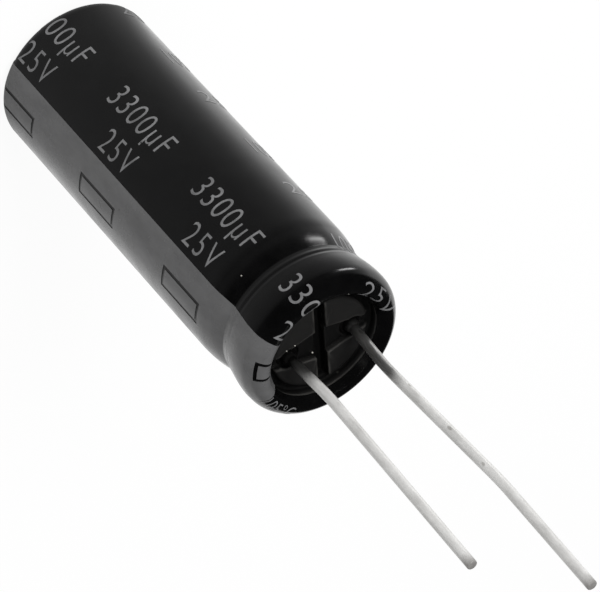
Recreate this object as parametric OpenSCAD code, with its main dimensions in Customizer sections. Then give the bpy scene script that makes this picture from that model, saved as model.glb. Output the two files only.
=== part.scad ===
/* [Can] */
// Outside diameter of the bare aluminium can
can_d = 12.5; // [11.5:0.1:18]
// Height of the bare can, from its closed end to the crest of its curled edge
can_h = 35.3; // [25:0.1:60]
// Wall thickness of the can
can_t = 0.35; // [0.25:0.01:0.4]
// Thickness of the closed end
floor_t = 0.45; // [0.3:0.05:1]
// Outside radius round the closed end
corner_r = 1; // [0.6:0.05:1.5]
// Length of each scored safety line in the closed end
score_len = 7; // [3:0.5:8]
// Width of the scored lines
score_w = 0.4; // [0.2:0.05:0.8]
// Depth of the scored lines
score_depth = 0.2; // [0.05:0.05:0.25]

/* [Neck] */
// Distance from the crest of the curled edge down to the bead groove
bead_from_top = 4.35; // [4.35:0.05:6]
// Depth of the bead groove in the can
bead_depth = 0.8; // [0.75:0.01:0.8]
// Fillet radius at the bottom of the bead groove
bead_r = 0.4; // [0.4:0.05:0.6]
// Slope of the bead groove's sides, in degrees from the axis
bead_slope = 24; // [24:1:28]
// Radius of the long curves where the bead groove meets the wall
bead_edge_r = 5; // [4.6:0.1:5]
// How much smaller the rim's radius is than the body's
rim_inset = 0.03; // [0:0.01:0.1]
// Radius of the rim's round shoulder
rim_r = 1.6; // [1.2:0.05:1.8]
// Radius of the tight crest of the curl
crest_r = 0.45; // [0.42:0.01:0.7]
// Angle at which the round shoulder turns into the crest
crest_from = 54; // [45:1:65]
// Angle through which the edge curls over
curl_angle = 145; // [120:1:160]
// Straight length at the end of the curled edge
curl_tail = 0.25; // [0.1:0.05:0.4]

/* [Sleeve] */
// Wall thickness of the shrunk sleeve
sleeve_t = 0.14; // [0.08:0.01:0.2]
// How far the sleeve reaches in under the closed end
sleeve_wrap = 1.5; // [1.2:0.1:2.5]
// Depth of the soft groove where the sleeve spans the bead
sleeve_groove = 0.43; // [0.3:0.01:0.5]
// Fillet radius at the bottom of the sleeve's groove
sleeve_groove_r = 0.35; // [0.2:0.05:0.6]
// Slope of the sleeve's groove on the body side, in degrees
sleeve_slope_body = 13; // [10:1:16]
// Slope of the sleeve's groove on the rim side, in degrees
sleeve_slope_rim = 10.5; // [10:0.5:13]
// Radius of the long curves beside the sleeve's groove
sleeve_edge_r = 7.8; // [4:0.2:8]
// Straight length of the sleeve's lip below the crest
lip_tail = 0.5; // [0.3:0.05:0.7]

/* [Polarity stripe] */
// Width of the stripe, in degrees round the sleeve
stripe_angle = 57; // [40:1:80]
// Angle of the stripe's middle, counted from the anode lead
stripe_turn = 171; // [150:1:210]
// Thickness of the printed ink
ink_t = 0.03; // [0.02:0.01:0.06]
// Length of each printed frame along the can
frame_len = 4.8; // [3:0.1:6]
// Width of each printed frame
frame_w = 1.9; // [1.2:0.1:3]
// Width of a frame's line
frame_line = 0.28; // [0.15:0.01:0.5]
// Distance between the same edge of two frames
frame_pitch = 11.55; // [9:0.05:14]
// Distance from the crest down to the first whole frame
frame_from_top = 7.35; // [6.5:0.05:9]
// Angle by which the frames stand off the stripe's middle
frame_turn = -2.5; // [-10:0.5:10]
// Distance from the sleeve's side in to the outer line of the frame that runs over the lip
lip_frame_in = 0.35; // [0.3:0.01:0.8]

/* [Rubber seal] */
// Depth of the seal's face below the can's crest
face_depth = 1.35; // [1:0.05:1.8]
// Height of the seal from its underside to its face
seal_h = 6.4; // [6:0.1:8]
// Width of the seal's raised rim, under the curled edge
seal_rim_w = 1.35; // [1.2:0.05:1.5]
// Gap between that rim and the pads
pad_gap = 0.55; // [0.25:0.05:0.7]
// Height of the pads above the face
pad_h = 0.55; // [0.5:0.05:1.2]
// Radius of the pads' top outer edge
pad_edge_r = 0.35; // [0.1:0.05:0.5]
// Width of the channel between the pads
channel_w = 0.95; // [0.6:0.05:1.2]
// Depth of the channel below the face
channel_sink = 0.6; // [0.2:0.05:1]
// Gap between each stem's end and the wall of the round well it stands in
well_room = 0.1; // [0.05:0.05:0.5]
// Width of the gap from each well out through the pad
well_gap_w = 1.2; // [0.8:0.1:1.8]
// Width of the shallow notch beside each well, where it meets the channel
notch_w = 2.9; // [1.5:0.1:3.5]
// Width of that notch where it meets the well
notch_end_w = 1.7; // [0.8:0.1:1.8]
// Depth of that notch below the pads' top
notch_depth = 0.35; // [0.2:0.05:0.45]

/* [Leads] */
// Distance between the lead centres at the seal
lead_pitch = 5.3; // [5:0.1:5.6]
// Diameter of the tinned leads
lead_d = 0.8; // [0.6:0.05:1]
// Height of the anode lead's tip above the can's crest
anode_lead_h = 27.9; // [24:0.1:40]
// Height of the cathode lead's tip above the can's crest
cathode_lead_h = 21.8; // [18:0.1:30]
// Height above the crest of the anode lead's lower bend
anode_low_bend_h = 3.4; // [3:0.1:6]
// Height above the crest of the anode lead's upper bend
anode_high_bend_h = 17; // [10:0.1:20]
// Height above the crest of the cathode lead's bend
cathode_bend_h = 3.7; // [3:0.1:15]
// Angle by which the anode lead leans from its foot to the lower bend
anode_low_lean_angle = -3.1; // [-4:0.1:-1]
// Angle by which the anode lead leans between its bends
anode_middle_lean_angle = 2.2; // [1:0.1:4]
// Angle by which the anode lead leans above its upper bend
anode_high_lean_angle = -1.4; // [-4:0.1:-0.5]
// Angle by which the cathode lead leans below its bend
cathode_low_lean_angle = 2.9; // [1:0.1:4]
// Angle by which the cathode lead leans above its bend
cathode_high_lean_angle = -1.3; // [-4:0.1:-0.5]
// Direction that the leans are counted in, from the anode lead
lean_turn = 23; // [0:1:359]
// Radius of each bend
bend_r = 30; // [10:1:40]
// Rounding of the cut lead tips
tip_r = 0.12; // [0.05:0.01:0.2]
// Diameter of the weld bead at the foot of each lead
bead_d = 1.15; // [1.1:0.05:1.5]

/* [Tabs] */
// Diameter of the tabs' round stems
stem_d = 1.7; // [1.5:0.05:2]
// Height of each stem's end above the seal's face
stem_rise = 0.1; // [0.05:0.05:0.4]
// Thickness of the flattened blade
blade_t = 0.22; // [0.15:0.01:0.24]
// Width of the flattened blade
blade_w = 2; // [1.5:0.1:2.2]
// Length over which the stem is pressed down to the blade
press_h = 1.2; // [0.8:0.1:1.6]
// How far the blade reaches down into the winding
blade_reach = 18; // [10:0.5:20]

/* [Winding] */
// Radius of the open core that the winding pin leaves
core_r = 1.3; // [1:0.1:1.5]
// Thickness of the etched anode foil
anode_t = 0.11; // [0.09:0.01:0.12]
// Thickness of the cathode foil
cathode_t = 0.06; // [0.05:0.01:0.07]
// Thickness of each separator paper
paper_t = 0.05; // [0.04:0.01:0.06]
// Extra radius that one side of the winding gains over each blade
blade_bulge = 0.15; // [0.14:0.01:0.16]
// Distance that the papers stand past the foils at each end
paper_over = 0.5; // [0.3:0.1:1]
// Space between the winding and the closed end
floor_gap = 0.3; // [0.1:0.05:0.6]
// Space between the winding and the underside of the seal
seal_space = 2; // [1.6:0.1:4]
// Thickness of the tape round the winding
tape_t = 0.06; // [0.04:0.01:0.08]
// Width of the tape
tape_w = 12; // [6:0.5:18]
// Least gap between the tape and the can
winding_room = 0.1; // [0.05:0.05:0.5]

/* [Fits] */
// Gap between one skin and the next
skin_gap = 0.01; // [0.005:0.005:0.02]
// Gap between two layers of the winding
layer_gap = 0.02; // [0.01:0.005:0.02]
// Gap between a tab's blade and the layer it lies on
blade_gap = 0.04; // [0.03:0.005:0.045]
// Gap between a tab's stem and its hole in the seal
hole_gap = 0.02; // [0.01:0.01:0.05]

/* [Hidden] */
$fn = 96;
arc_steps = 8;
eps = 0.01;
black = "#1b1b1c";
grey = "#8b8c8d";
aluminium = "#c9ccd0";
tin = "#b6b4af";

// A leg of a lead stops just short of its bend, and a small ball closes the two into one wire
joint_gap = 0.02;
joint_over = 0.005;

can_r = can_d / 2;
lead_r = lead_d / 2;
joint_r = lead_r + joint_over;
skin = sleeve_t + skin_gap;
body_r = can_r + skin;
can_bottom = skin;
can_top = can_bottom + can_h;
body_top = can_top + skin;
bead_z = can_top - bead_from_top;

face_z = can_top - face_depth;
seal_bottom = face_z - seal_h;
stem_top = face_z + stem_rise;
recess_r = can_r - can_t - seal_rim_w;
pad_r = recess_r - pad_gap;
well_r = stem_d / 2 + well_room;
lip_frame_r = body_r - lip_frame_in;

papers_bottom = can_bottom + floor_t + floor_gap;
papers_top = seal_bottom - seal_space;
layer_pitch = anode_t + cathode_t + 2 * paper_t + 4 * layer_gap;
half_step = layer_pitch / 2;
anode_layer = 0;
inner_paper_layer = anode_layer + anode_t + layer_gap;
cathode_layer = inner_paper_layer + paper_t + layer_gap;
outer_paper_layer = cathode_layer + cathode_t + layer_gap;

// As many whole turns as fit in the can, counted in half turns
tape_r = can_r - can_t - winding_room - tape_t - layer_gap;
turns_room = tape_r - core_r - outer_paper_layer - paper_t - 2 * blade_bulge - half_step / 2;
half_turns = 2 * round(turns_room / layer_pitch);

// The half turn at whose end a blade lies nearest its lead: even ends at the cathode, odd at the anode
cathode_blade_turn = 2 * round((lead_pitch / 2 - core_r - cathode_layer - half_step / 2) / layer_pitch);
anode_blade_turn = 2 * round((lead_pitch / 2 - core_r - half_step / 2) / layer_pitch - 0.5) + 1;

// Points on an arc about [cx, cz], from angle a0 to a1
function arc(cx, cz, r, a0, a1) = [
    for (i = [0:arc_steps])
        let (a = a0 + (a1 - a0) * i / arc_steps)
        [cx + r * cos(a), cz + r * sin(a)]
];

function reversed(points) = [for (i = [len(points) - 1:-1:0]) points[i]];

// A neck is [radius, top, groove depth, groove fillet, body slope, rim slope, edge radius,
// rim radius, crest radius, tail length], and path d lies a distance d inside its surface
can_neck = [
    can_r, can_top, bead_depth, bead_r, bead_slope, bead_slope, bead_edge_r,
    rim_r, crest_r, curl_tail
];
sleeve_neck = [
    body_r, body_top, sleeve_groove, sleeve_groove_r, sleeve_slope_body, sleeve_slope_rim,
    sleeve_edge_r, rim_r + skin, crest_r + skin, lip_tail
];

// Distance along the axis from the groove's middle to the end of the edge curve beside it
function groove_side(wall_r, bottom_r, fillet, slope, edge_r) =
    let (rise = wall_r - bottom_r - (edge_r + fillet) * (1 - cos(slope)))
    (fillet + edge_r) * sin(slope) + rise / tan(slope);

function neck_path(neck, d) =
    let (
        r = neck[0], top = neck[1], depth = neck[2], fillet = neck[3],
        slope_body = neck[4], slope_rim = neck[5], edge_r = neck[6],
        shoulder_r = neck[7], tight_r = neck[8], tail = neck[9],
        bottom_r = r - depth,
        rim_out = r - rim_inset,
        z_body = bead_z - groove_side(r, bottom_r, fillet, slope_body, edge_r),
        z_rim = bead_z + groove_side(rim_out, bottom_r, fillet, slope_rim, edge_r),
        z_shoulder = top - tight_r - (shoulder_r - tight_r) * sin(crest_from),
        x_shoulder = rim_out - shoulder_r,
        x_crest = x_shoulder + (shoulder_r - tight_r) * cos(crest_from),
        crest = arc(x_crest, top - tight_r, tight_r - d, crest_from, curl_angle),
        crest_end = crest[arc_steps],
        tail_end = crest_end + tail * [-sin(curl_angle), cos(curl_angle)]
    )
    concat(
        arc(r - edge_r, z_body, edge_r - d, 0, slope_body),
        arc(bottom_r + fillet, bead_z, fillet + d, 180 + slope_body, 180 - slope_rim),
        arc(rim_out - edge_r, z_rim, edge_r - d, -slope_rim, 0),
        arc(x_shoulder, z_shoulder, shoulder_r - d, 0, crest_from),
        crest,
        [tail_end]
    );

function corner_path(r, bottom, round_r, d) =
    arc(r - round_r, bottom + round_r, round_r - d, -90, 0);

module revolve(points, angle = 360) {
    rotate_extrude(angle = angle) polygon(points);
}

// Drawn aluminium can with a beaded neck, a curled edge and a scored closed end
module can() {
    color(aluminium)
    difference() {
        revolve(concat(
            [[0, can_bottom]],
            corner_path(can_r, can_bottom, corner_r, 0),
            neck_path(can_neck, 0),
            reversed(neck_path(can_neck, can_t)),
            reversed(arc(can_r - corner_r, can_bottom + floor_t + corner_r - can_t, corner_r - can_t, -90, 0)),
            [[0, can_bottom + floor_t]]
        ));
        for (turn = [45, 135])
            rotate(turn) score_line();
    }
}

// One V-shaped line of the safety vent
module score_line() {
    translate([-score_len / 2, 0, can_bottom])
        rotate([90, 0, 90])
            linear_extrude(score_len)
                polygon([
                    [-score_w / 2 * (1 + eps / score_depth), -eps],
                    [score_w / 2 * (1 + eps / score_depth), -eps],
                    [0, score_depth]
                ]);
}

// Plastic sleeve shrunk over the can, in under the closed end and over the curled edge
module sleeve() {
    color(black)
    revolve(concat(
        [[body_r - sleeve_wrap, 0]],
        corner_path(body_r, 0, corner_r + skin, 0),
        neck_path(sleeve_neck, 0),
        reversed(neck_path(sleeve_neck, sleeve_t)),
        reversed(corner_path(body_r, 0, corner_r + skin, sleeve_t)),
        [[body_r - sleeve_wrap, sleeve_t]]
    ));
}

// Printed stripe on the cathode side, with framed windows left open in the ink
module polarity_stripe() {
    inside = -skin_gap;
    outside = -skin_gap - ink_t;
    color(grey)
    difference() {
        rotate(stripe_turn - stripe_angle / 2)
            rotate_extrude(angle = stripe_angle)
                intersection() {
                    polygon(concat(
                        corner_path(body_r, 0, corner_r + skin, outside),
                        neck_path(sleeve_neck, outside),
                        reversed(neck_path(sleeve_neck, inside)),
                        reversed(corner_path(body_r, 0, corner_r + skin, inside))
                    ));
                    translate([0, ink_t]) square([body_r + 1, body_top + 1]);
                }
        rotate(stripe_turn + frame_turn) {
            for (top = [body_top - frame_from_top:-frame_pitch:frame_len])
                translate([0, 0, top - frame_len / 2]) body_frame();
            lip_frame();
        }
    }
}

// Cut for one frame on the can's side
module body_frame() {
    translate([body_r - corner_r - skin, 0, 0])
        rotate([90, 0, 90])
            linear_extrude(corner_r + skin + 1)
                difference() {
                    square([frame_w, frame_len], center = true);
                    square([frame_w - 2 * frame_line, frame_len - 2 * frame_line], center = true);
                }
}

// Cut for the frame that runs over the lip and in to its edge
module lip_frame() {
    half_turn = asin((frame_w - frame_line) / 2 / lip_frame_r);
    translate([0, 0, body_top - rim_r - skin])
        linear_extrude(rim_r + skin + 1) {
            for (turn = [-half_turn, half_turn])
                rotate(turn)
                    translate([0, -frame_line / 2]) square([lip_frame_r, frame_line]);
            intersection() {
                difference() {
                    circle(lip_frame_r);
                    circle(lip_frame_r - frame_line);
                }
                translate([0, -frame_w / 2]) square([lip_frame_r, frame_w]);
            }
        }
}

// Rubber seal, gripped by the bead, with raised pads in the recess of its face
module rubber_seal() {
    curl = neck_path(can_neck, can_t);
    shoulder_z = curl[len(curl) - 1][1] - skin_gap;
    inner = neck_path(can_neck, can_t + skin_gap);
    color(black)
    difference() {
        rotate_extrude()
            intersection() {
                polygon(concat(
                    [[0, can_bottom], [can_r - can_t - skin_gap, can_bottom]],
                    inner,
                    [[0, can_top]]
                ));
                translate([0, seal_bottom]) square([can_r, shoulder_z - seal_bottom]);
            }
        translate([0, 0, face_z])
            cylinder(r = recess_r, h = can_h);
        translate([0, 0, face_z - channel_sink])
            intersection() {
                cylinder(r = pad_r, h = channel_sink + eps);
                translate([-channel_w / 2, -pad_r, 0]) cube([channel_w, 2 * pad_r, channel_sink + eps]);
            }
        for (side = [-1, 1])
            translate([side * lead_pitch / 2, 0, seal_bottom - eps])
                cylinder(d = stem_d + 2 * hole_gap, h = seal_h + stem_rise + 2 * eps);
    }
    color(black) seal_pads();
}

// Four raised pads: a disc cut by the channel, the wells with their gaps, and the shallow notches
module seal_pads() {
    difference() {
        translate([0, 0, face_z])
            rotate_extrude()
                polygon(concat(
                    [[0, 0], [pad_r, 0]],
                    arc(pad_r - pad_edge_r, pad_h - pad_edge_r, pad_edge_r, 0, 90),
                    [[0, pad_h]]
                ));
        translate([-channel_w / 2, -pad_r, face_z]) cube([channel_w, 2 * pad_r, pad_h + eps]);
        for (side = [0, 180])
            rotate(side) {
                translate([lead_pitch / 2, 0, face_z]) cylinder(r = well_r, h = pad_h + eps);
                translate([lead_pitch / 2, -well_gap_w / 2, face_z]) cube([pad_r, well_gap_w, pad_h + eps]);
                translate([0, 0, face_z + pad_h - notch_depth])
                    linear_extrude(notch_depth + eps)
                        polygon([
                            [0, -notch_w / 2],
                            [lead_pitch / 2, -notch_end_w / 2],
                            [lead_pitch / 2, notch_end_w / 2],
                            [0, notch_w / 2]
                        ]);
            }
    }
}

// Corners of a lead's centre line in the plane of its leans. Each leg is [height of its end, lean]
function lead_corners(legs, i, from) =
    i == len(legs) ? [from] :
    let (end_z = body_top + legs[i][0])
    concat([from], lead_corners(legs, i + 1, [from[0] + (end_z - from[1]) * tan(legs[i][1]), end_z]));

// Tinned lead with its weld bead: straight legs joined by slight bends, up to the cut tip
module lead(legs) {
    foot = bead_d / 5;
    color(tin)
    translate([0, 0, stem_top]) {
        intersection() {
            translate([0, 0, foot]) sphere(d = bead_d);
            cylinder(d = bead_d, h = bead_d);
        }
        rotate(lean_turn)
            rotate([0, legs[0][1], 0])
                translate([0, 0, foot]) lead_leg(legs, lead_corners(legs, 0, [0, stem_top]), 0, foot);
    }
}

// Leg i of a lead, which starts a distance past its corner, the bend at its end, and the legs after it
module lead_leg(legs, corners, i, past) {
    is_tip = i == len(legs) - 1;
    turn = is_tip ? 0 : legs[i + 1][1] - legs[i][1];
    bend_len = bend_r * tan(abs(turn) / 2);
    length = norm(corners[i + 1] - corners[i]) - past - bend_len;
    if (i > 0) sphere(r = joint_r);
    if (is_tip)
        translate([0, 0, joint_gap])
            revolve(concat(
                [[0, 0], [lead_r, 0]],
                arc(lead_r - tip_r, length - joint_gap - tip_r, tip_r, 0, 90),
                [[0, length - joint_gap]]
            ));
    else {
        translate([0, 0, joint_gap]) cylinder(r = lead_r, h = length - 2 * joint_gap);
        translate([0, 0, length]) {
            sphere(r = joint_r);
            rotate(turn > 0 ? 180 : 0)
                translate([-bend_r, 0, 0]) {
                    rotate([90, 0, 0])
                        rotate_extrude(angle = abs(turn), $fn = 720)
                            translate([bend_r, 0]) circle(r = lead_r, $fn = 48);
                    rotate([0, -abs(turn), 0])
                        translate([bend_r, 0, 0])
                            rotate(turn > 0 ? -180 : 0)
                                lead_leg(legs, corners, i + 1, bend_len);
                }
        }
    }
}

module anode_lead() {
    translate([lead_pitch / 2, 0, 0])
        lead([
            [anode_low_bend_h, anode_low_lean_angle],
            [anode_high_bend_h, anode_middle_lean_angle],
            [anode_lead_h, anode_high_lean_angle]
        ]);
}

module cathode_lead() {
    translate([-lead_pitch / 2, 0, 0])
        lead([
            [cathode_bend_h, cathode_low_lean_angle],
            [cathode_lead_h, cathode_high_lean_angle]
        ]);
}

// Extra half turns that a layer has passed: the layers outside a blade give way one turn sooner
function passed_cathode(i, layer) = i >= cathode_blade_turn + (layer < cathode_layer ? 2 : 0) ? 1 : 0;
function passed_anode(i) = i >= anode_blade_turn ? 1 : 0;

// Inner radius and centre of half turn i of the layer that starts a distance layer outside the core
function turn_r(i, layer) =
    core_r + layer + i * half_step + blade_bulge * (passed_cathode(i, layer) + passed_anode(i));
function turn_x(i, layer) =
    half_step * (i % 2 - 0.5) + blade_bulge * (passed_anode(i) - passed_cathode(i, layer));

// One continuous wound strip: half circles about two centres, each a half step wider than the last
module wound_strip(layer, thick, bottom, top) {
    for (i = [0:half_turns - 1])
        translate([turn_x(i, layer), 0, bottom])
            rotate(180 * (i % 2))
                rotate_extrude(angle = 180)
                    translate([turn_r(i, layer), 0]) square([thick, top - bottom]);
}

module anode_foil() {
    color("#8f9194") wound_strip(anode_layer, anode_t, papers_bottom + paper_over, papers_top - paper_over);
}

module cathode_foil() {
    color("#b9bcc0") wound_strip(cathode_layer, cathode_t, papers_bottom + paper_over, papers_top - paper_over);
}

module inner_paper() {
    color("#d8cba8") wound_strip(inner_paper_layer, paper_t, papers_bottom, papers_top);
}

module outer_paper() {
    color("#cdbf99") wound_strip(outer_paper_layer, paper_t, papers_bottom, papers_top);
}

// Tape that closes the winding, round its last half turns
module winding_tape() {
    last = half_turns - 1;
    outer = max([for (i = [last - 1, last]) turn_r(i, outer_paper_layer) + abs(turn_x(i, outer_paper_layer))]);
    middle = (papers_bottom + papers_top) / 2;
    color("#c9b56a")
    translate([0, 0, middle - tape_w / 2])
        difference() {
            cylinder(r = outer + paper_t + layer_gap + tape_t, h = tape_w);
            translate([0, 0, -eps]) cylinder(r = outer + paper_t + layer_gap, h = tape_w + 2 * eps);
        }
}

// Tab on one side: a round stem through the seal, pressed flat below into a blade that lies on a layer
// of the winding, curved about the mean centre of the two half turns that meet under it
module tab(side, under, layer) {
    stem_bottom = papers_top + seal_space - press_h;
    centre_x = (turn_x(under, layer) + turn_x(under + 1, layer)) / 2;
    inner_r = turn_r(under, layer) + side * (turn_x(under, layer) - centre_x) + paper_t + blade_gap;
    blade_half = asin(blade_w / 2 / inner_r);
    blade_mid = centre_x + side * (inner_r + blade_t / 2);
    color(aluminium) {
        translate([side * lead_pitch / 2, 0, seal_bottom])
            cylinder(d = stem_d, h = stem_top - seal_bottom);
        intersection() {
            translate([side * lead_pitch / 2, 0, stem_bottom]) cylinder(d = stem_d, h = press_h);
            rotate([90, 0, 0])
                linear_extrude(stem_d + 1, center = true)
                    polygon([
                        [blade_mid - blade_t / 2, stem_bottom],
                        [blade_mid + blade_t / 2, stem_bottom],
                        [side * lead_pitch / 2 + stem_d / 2, stem_bottom + press_h],
                        [side * lead_pitch / 2 - stem_d / 2, stem_bottom + press_h]
                    ]);
        }
        translate([centre_x, 0, papers_top - blade_reach])
            rotate((side > 0 ? 0 : 180) - blade_half)
                rotate_extrude(angle = 2 * blade_half)
                    translate([inner_r, 0])
                        square([blade_t, stem_bottom + press_h / 4 - papers_top + blade_reach]);
    }
}

module anode_tab() {
    tab(1, anode_blade_turn - 2, outer_paper_layer);
}

module cathode_tab() {
    tab(-1, cathode_blade_turn, inner_paper_layer);
}

can();
sleeve();
polarity_stripe();
rubber_seal();
anode_lead();
cathode_lead();
anode_tab();
cathode_tab();
anode_foil();
cathode_foil();
inner_paper();
outer_paper();
winding_tape();
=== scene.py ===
from math import acos, asin, atan2, cos, degrees, hypot, pi, radians, sin, tan

import bmesh
import bpy
from mathutils import Matrix, Vector


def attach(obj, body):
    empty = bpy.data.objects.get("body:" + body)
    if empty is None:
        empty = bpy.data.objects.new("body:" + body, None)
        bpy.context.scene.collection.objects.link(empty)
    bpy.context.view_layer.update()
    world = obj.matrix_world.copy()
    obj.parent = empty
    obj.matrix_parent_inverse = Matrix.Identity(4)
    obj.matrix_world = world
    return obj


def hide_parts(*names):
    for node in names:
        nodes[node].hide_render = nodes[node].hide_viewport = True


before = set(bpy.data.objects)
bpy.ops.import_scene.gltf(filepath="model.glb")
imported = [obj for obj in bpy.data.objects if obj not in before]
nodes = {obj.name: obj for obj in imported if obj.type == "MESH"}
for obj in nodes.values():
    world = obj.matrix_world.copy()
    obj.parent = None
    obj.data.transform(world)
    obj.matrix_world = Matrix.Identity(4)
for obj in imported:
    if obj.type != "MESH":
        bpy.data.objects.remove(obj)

# Electrolytic capacitor on its closed end: finer skins, print, dust grains that are also painted glints, and
# finishes, some with painted light and shade, round the imported solids
scene = bpy.context.scene
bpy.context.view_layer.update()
MM = 0.001

# Camera at the photograph's angle, found from the outlines of the rim, the body and the wires: its place in
# millimetres, how far it is turned round the part, lifted and rolled in degrees, and its lens
CAMERA_AT = (-93.35, 202.67, 193.40)
CAMERA_TURN = 115.0145
CAMERA_LIFT = 36.1546
CAMERA_ROLL = -137.5117
LENS = 232.13

# Can and sleeve, the same sizes as the solids, in millimetres and degrees
CAN_R = 6.25
CAN_T = 0.35
SLEEVE_T = 0.14
SKIN_GAP = 0.01
SKIN = SLEEVE_T + SKIN_GAP
BODY_R = CAN_R + SKIN
CAN_TOP = SKIN + 35.3
BODY_TOP = CAN_TOP + SKIN
BEAD_Z = CAN_TOP - 4.35
RIM_FROM = BEAD_Z + 2
CORNER_R = 1 + SKIN
SLEEVE_WRAP = 1.5
RIM_INSET = 0.03
CREST_FROM = 54
CURL_ANGLE = 145
CAN_NECK = dict(r=CAN_R, top=CAN_TOP, depth=0.8, fillet=0.4, slope_body=24, slope_rim=24,
                edge_r=5, shoulder_r=1.6, tight_r=0.45, tail=0.25)
SLEEVE_NECK = dict(r=BODY_R, top=BODY_TOP, depth=0.43, fillet=0.35, slope_body=13, slope_rim=10.5,
                   edge_r=7.8, shoulder_r=1.6 + SKIN, tight_r=0.45 + SKIN, tail=0.5)

# Seal: its sizes, its least width beside the recess, and how far the cutters reach past what they cut
FACE_Z = CAN_TOP - 1.35
SEAL_BOTTOM = FACE_Z - 6.4
RECESS_R = CAN_R - CAN_T - 1.35
RIM_LEAST = 0.2
SHOULDER_INSET = 0.02
PAD_R = RECESS_R - 0.55
PAD_H = 0.55
PAD_TOP = FACE_Z + PAD_H
PAD_EDGE_R = 0.35
CHANNEL_W = 0.95
CHANNEL_SINK = 0.6
STEM_R = 0.85
WELL_R = STEM_R + 0.1
HOLE_R = STEM_R + 0.02
WELL_GAP_W = 1.2
NOTCH_W = 2.9
NOTCH_END_W = 1.7
NOTCH_DEPTH = 0.35
SOFT_EDGE = 0.17
CUT_PAST = 1
GAP_PAST = 0.2

# Leads; each leg has the height of its end above the crest, and its lean in degrees
LEAD_X = 5.3 / 2
LEAD_R = 0.4
STEM_TOP = FACE_Z + 0.1
LEAN_TURN = 23
BEND_R = 30
TIP_R = 0.12
WELD_R = 1.15 / 2
WELD_LIFT = WELD_R * 2 / 5
ANODE_LEGS = ((3.4, -3.1), (17, 2.2), (27.9, -1.4))
CATHODE_LEGS = ((3.7, 2.9), (21.8, -1.3))

# Stripe with its open frames
STRIPE_ANGLE = 57
STRIPE_TURN = 171
STRIPE_CUT = 3
INK_T = 0.03
FRAME_TURN = STRIPE_TURN - 2.5
FRAME_W = 1.9
FRAME_LEN = 4.8
FRAME_LINE = 0.28
FRAME_PITCH = 11.55
FRAME_TOP = BODY_TOP - 7.35
LIP_FRAME_R = BODY_R - 0.35

# Rating print: name, words, place round the can, distance below the rim, length, letter height, spacing and
# way: 0 along the can, 1 round it with the tops down, -1 round it with the tops up
RIM_PLANE = 35.69
PRINT_PITCH = 11.6
PRINTS = (
    ("capacity_print", "3300µF", 112.0, 14.1, 7.35, 1.95, 1.12, 0),
    ("voltage_print", "25V", 137.8, 11.7, 3.8, 1.95, 1.25, 0),
    ("heat_print", "105°C", 49.0, 5.8, 4.7, 1.9, 1.05, 1),
    ("side_voltage_print", "25V", 53.0, 11.85, 5.2, 1.45, 1.2, 1),
    ("small_heat_print", "105°C", 201.0, 12.0, 3.8, 1.1, 1.05, -1),
)
PRINT_SINK = 0.02
PRINT_RISE = 0.015
PRINT_CUT_ALONG = 0.25
PRINT_CUT_ROUND = 0.3
LETTER_WEIGHT = -0.009
FONT_CAP = 0.7

# Creases of the film over the bead: level, width and wander, and strength
CREASES = ((31.6, 0.22, 0.3, 1.0), (31.95, 0.2, 0.3, -1.0))
# Swell of the film on the bead's slope: level and half width, and strength
SWELL = (30.4, 1.2, 2.0)
FILM_RELIEF = 0.03

# Grains of dust, pale, placed where small glints show, so their colour is also a painted glint: place and
# radius, and how far from round they are
DUST_AND_GLINT_GRAINS = (
    (-0.62, -0.95, 34.32, 0.06),
    (1.95, 4.6, 35.47, 0.06),
    (-2.2, 1.1, 34.66, 0.05),
    (-2.9, 0.98, 34.66, 0.045),
    (3.3, -1.6, 34.67, 0.04),
    (-1.6, -2.9, 34.67, 0.045),
    (-3.475, 5.15, 30.11, 0.05),
)
GRAIN_ROUGH = 0.18

# Painted shade on the metal at the welds by the seal's face, and the levels under the seal's face between
# which it sets in
FOOT_SHADE = (0.012, 0.0115, 0.011)
FOOT_SHADE_FROM = (-0.6, -0.3)

# Fineness: steps round a piece and in each bend of its outline
SLEEVE_ROUND = 192
SEAL_ROUND = 128
WIRE_ROUND = 32
NECK_STEPS = 12
SEAL_STEPS = 6
FOOT_STEPS = 8
WELD_STEPS = 8
WIRE_RINGS = 70
# The step of the foot's bend at which the stripe and the print start
INK_FOOT = 3
# Distances at which points are one: in metres on a piece, in millimetres on an outline or a flat sheet
MERGE = 0.5e-6
SAME_POINT = 1e-6
SHEET_MERGE = 1e-4
SHEET_TOUCH = 1e-5

# Brightness of the surroundings in reflections, by degrees round the part from the long lead
SURROUND = (
    (0, 0.88), (21, 0.47), (37, 0.28), (69, 0.2), (170, 0.2),
    (189, 0.24), (205, 0.4), (221, 0.6), (240, 0.82), (262, 1.0),
)
# Brightness of the floor in reflections: from one distance to another in metres, and its value at each
FLOOR_NEAR = (0.01, 0.046, 1.45, 0.95)
FLOOR_FADE = (0.045, 0.1, 1.0, 0.1)
FLOOR_REACH = 1.5
FLOOR_GREY = 0.85
# Share of plain white in the floor that the camera sees, where the rest keeps the shadow
FLOOR_WHITE = 0.93
# Light of the room on matt surfaces, and how much of it a mirror above the floor shows
ROOM_LIGHT = 0.75
ROOM_SEEN = 0.03


def arc(cx, cz, r, a0, a1, steps):
    """Points on an arc, angles in degrees."""
    turns = [radians(a0 + (a1 - a0) * i / steps) for i in range(steps + 1)]
    return [(cx + r * cos(a), cz + r * sin(a)) for a in turns]


def groove_side(wall_r, bottom_r, fillet, slope, edge_r):
    """How far one side of the groove reaches along the can, from its lowest line to the straight wall."""
    s = radians(slope)
    rise = wall_r - bottom_r - (edge_r + fillet) * (1 - cos(s))
    return (fillet + edge_r) * sin(s) + rise / tan(s)


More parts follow.
